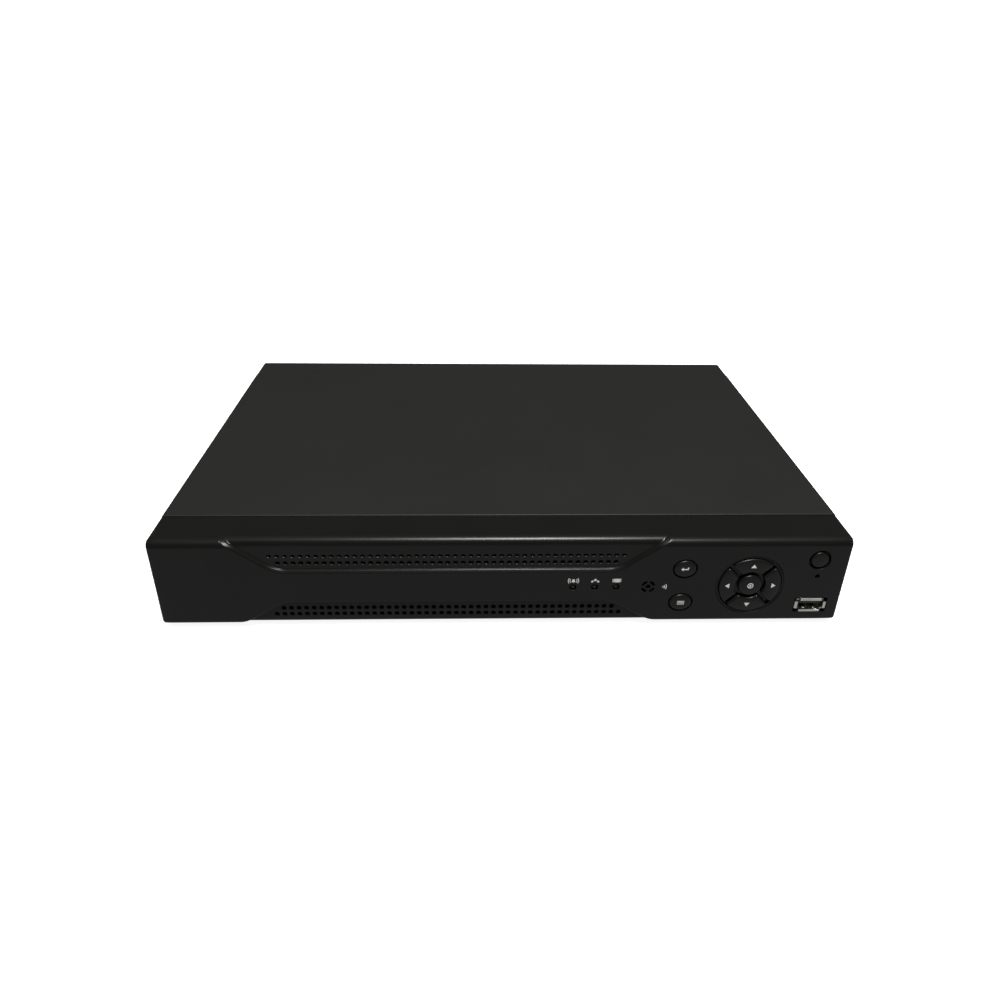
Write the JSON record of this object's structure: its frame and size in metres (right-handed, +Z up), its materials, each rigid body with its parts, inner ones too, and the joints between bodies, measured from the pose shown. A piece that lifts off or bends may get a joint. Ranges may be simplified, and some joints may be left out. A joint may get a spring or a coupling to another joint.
{
  "type": "digital video recorder",
  "caption": "Flat black desktop video recorder: steel case, moulded front with grilles, lamps and sprung keys, rear video jacks, a hard drive and a fan inside.",
  "frame": {"origin": "middle of the footprint on the surface that the feet stand on", "axes": "+X to the right seen from the front, +Y to the back, +Z up"},
  "size_m": [0.3274, 0.2466, 0.05],
  "materials": {
    "cover_paint": "fine textured satin powder coat",
    "zinc_steel": "zinc-plated sheet",
    "bezel_plastic": "satin moulded",
    "key_plastic": "satin moulded",
    "black_screw": "black oxide",
    "bright_screw": "bright zinc",
    "foot_rubber": "matte",
    "board_green": "solder mask",
    "drive_board_blue": "solder mask",
    "black_plastic": "moulded",
    "aluminium": "cast and machined",
    "capacitor_sleeve": "shrunk sleeve",
    "nickel": "nickel plate",
    "gold_plate": "gold flash",
    "white_plastic": "moulded",
    "red_plastic": "moulded",
    "blue_plastic": "moulded",
    "green_plastic": "moulded",
    "lamp_lens": "clear dome, unlit",
    "dark_lens": "infrared-pass filter",
    "usb_black": "moulded",
    "ribbon_grey": "flexible sheath",
    "cable_red": "flexible sheath",
    "cable_yellow": "flexible sheath",
    "wire_black": "flexible sheath",
    "platter_mirror": "polished"
  },
  "bodies": {
    "recorder": {"base_tray": "zinc_steel", "top_cover": "cover_paint", "front_bezel": "bezel_plastic", "case_screws": "black_screw", "bezel_screws": "bright_screw", "rubber_feet": "foot_rubber", "foot_screws": "bright_screw", "main_board": "board_green", "board_screws": "bright_screw", "board_chips": "black_plastic", "chip_heatsink": "aluminium", "board_capacitors": "capacitor_sleeve", "coin_cell": "nickel", "coin_cell_holder": "black_plastic", "buzzer": "black_plastic", "video_jack_block": "black_plastic", "video_jack_barrels": "nickel", "video_jack_insulators": "white_plastic", "audio_jack_block": "black_plastic", "audio_jack_barrels": "gold_plate", "audio_jack_insulators": "red_plastic", "monitor_port_shell": "nickel", "monitor_port_insert": "blue_plastic", "monitor_port_jackscrews": "nickel", "digital_port_shell": "nickel", "digital_port_tongue": "usb_black", "network_port": "nickel", "rear_usb_shell": "nickel", "rear_usb_tongues": "white_plastic", "terminal_block": "green_plastic", "terminal_screws": "bright_screw", "power_inlet": "black_plastic", "power_inlet_pin": "nickel", "ground_screw": "bright_screw", "front_board": "board_green", "switch_housings": "black_plastic", "status_leds": "lamp_lens", "infrared_receiver": "dark_lens", "front_usb_shell": "nickel", "front_usb_tongue": "usb_black", "front_ribbon_cable": "ribbon_grey", "drive_base": "aluminium", "drive_lid": "aluminium", "drive_board": "drive_board_blue", "drive_screws": "bright_screw", "drive_data_cable": "cable_red", "drive_power_cable": "cable_yellow", "fan_cable": "wire_black", "fan_frame": "black_plastic"},
    "esc_key": {"esc_key": "key_plastic"},
    "function_key": {"function_key": "key_plastic"},
    "up_key": {"up_key": "key_plastic"},
    "down_key": {"down_key": "key_plastic"},
    "left_key": {"left_key": "key_plastic"},
    "right_key": {"right_key": "key_plastic"},
    "enter_key": {"enter_key": "key_plastic"},
    "power_key": {"power_key": "key_plastic"},
    "drive_platters": {"drive_platters": "platter_mirror"},
    "drive_head_arm": {"drive_head_arm": "aluminium"},
    "fan_rotor": {"fan_rotor": "black_plastic"}
  },
  "joints": [
    {"name": "esc_press", "type": "slide", "parent": "recorder", "child": "esc_key", "axis": [0, 1, 0], "range_m": [0, 0.0005], "stiffness_N_per_m": 2500},
    {"name": "function_press", "type": "slide", "parent": "recorder", "child": "function_key", "axis": [0, 1, 0], "range_m": [0, 0.0005], "stiffness_N_per_m": 2500},
    {"name": "up_press", "type": "slide", "parent": "recorder", "child": "up_key", "axis": [0, 1, 0], "range_m": [0, 0.0005], "stiffness_N_per_m": 2500},
    {"name": "down_press", "type": "slide", "parent": "recorder", "child": "down_key", "axis": [0, 1, 0], "range_m": [0, 0.0005], "stiffness_N_per_m": 2500},
    {"name": "left_press", "type": "slide", "parent": "recorder", "child": "left_key", "axis": [0, 1, 0], "range_m": [0, 0.0005], "stiffness_N_per_m": 2500},
    {"name": "right_press", "type": "slide", "parent": "recorder", "child": "right_key", "axis": [0, 1, 0], "range_m": [0, 0.0005], "stiffness_N_per_m": 2500},
    {"name": "enter_press", "type": "slide", "parent": "recorder", "child": "enter_key", "axis": [0, 1, 0], "range_m": [0, 0.0005], "stiffness_N_per_m": 2500},
    {"name": "power_press", "type": "slide", "parent": "recorder", "child": "power_key", "axis": [0, 1, 0], "range_m": [0, 0.0005], "stiffness_N_per_m": 2500},
    {"name": "platter_spin", "type": "hinge", "parent": "recorder", "child": "drive_platters", "pos_m": [0.0998, -0.0386, 0.021], "axis": [0, 0, 1], "continuous": true},
    {"name": "head_arm_swing", "type": "hinge", "parent": "recorder", "child": "drive_head_arm", "pos_m": [0.081, 0.0204, 0.021], "axis": [0, 0, 1], "range_deg": [-32, 0]},
    {"name": "fan_spin", "type": "hinge", "parent": "recorder", "child": "fan_rotor", "pos_m": [0.128, 0.1053, 0.024], "axis": [0, 1, 0], "continuous": true}
  ]
}
